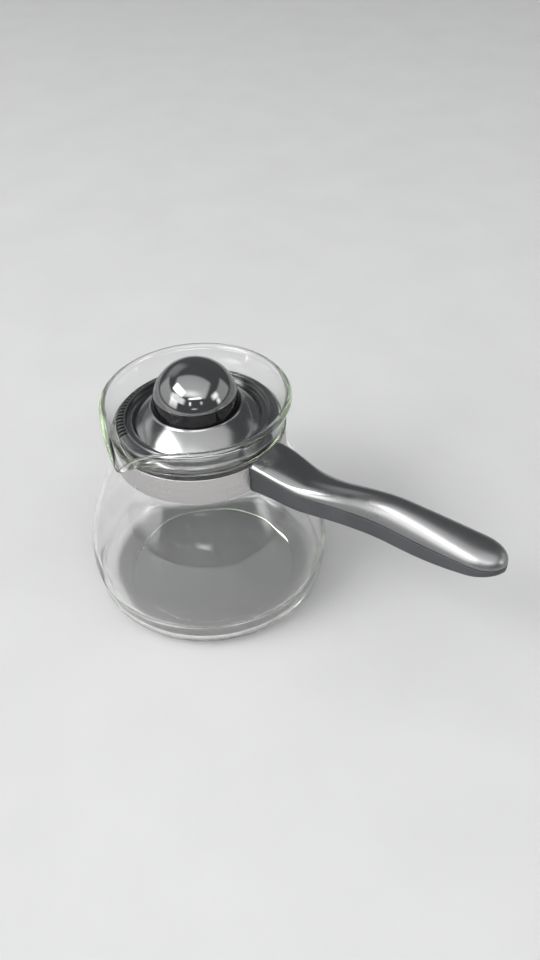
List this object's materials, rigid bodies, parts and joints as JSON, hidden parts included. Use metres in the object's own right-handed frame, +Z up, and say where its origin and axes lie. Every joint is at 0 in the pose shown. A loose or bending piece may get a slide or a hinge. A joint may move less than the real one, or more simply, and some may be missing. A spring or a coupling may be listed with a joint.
{
  "type": "glass cezve",
  "caption": "Glass stovetop coffee pot with a pouring lip, a black handle clamped on by a steel neck strap, and a black lift-off straining lid with a round knob.",
  "frame": {"origin": "middle of the flat foot of the pot, on the surface it stands on", "axes": "+Z up along the pot's own axis, +X out along the handle, -Y out of the pouring lip"},
  "size_m": [0.2082, 0.115, 0.1227],
  "materials": {
    "glass": "clear heat-proof glass with a faint green edge",
    "band_steel": "satin, brushed round the neck",
    "screw_steel": "plain turned steel",
    "gloss_black": "polished black",
    "matt_black": "fine matt black",
    "lid_black": "satin black"
  },
  "bodies": {
    "pot": {"glass_body": "glass", "neck_band": "band_steel", "clamp_bolt": "screw_steel", "clamp_nut": "screw_steel", "handle_top_shell": "gloss_black", "handle_bottom_shell": "matt_black", "handle_screw_1": "screw_steel", "handle_screw_2": "screw_steel"},
    "knob": {"knob_base": "gloss_black", "knob_cap": "gloss_black", "knob_screw": "screw_steel"},
    "lid": {"lid_disc": "lid_black"}
  },
  "joints": [
    {"name": "lid_lift", "type": "slide", "parent": "pot", "child": "knob", "axis": [0, 0, 1], "range_m": [0, 0.06]},
    {"name": "lid_turn", "type": "hinge", "parent": "knob", "child": "lid", "pos_m": [0, 0, 0.0945], "axis": [0, 0, 1], "continuous": true}
  ]
}
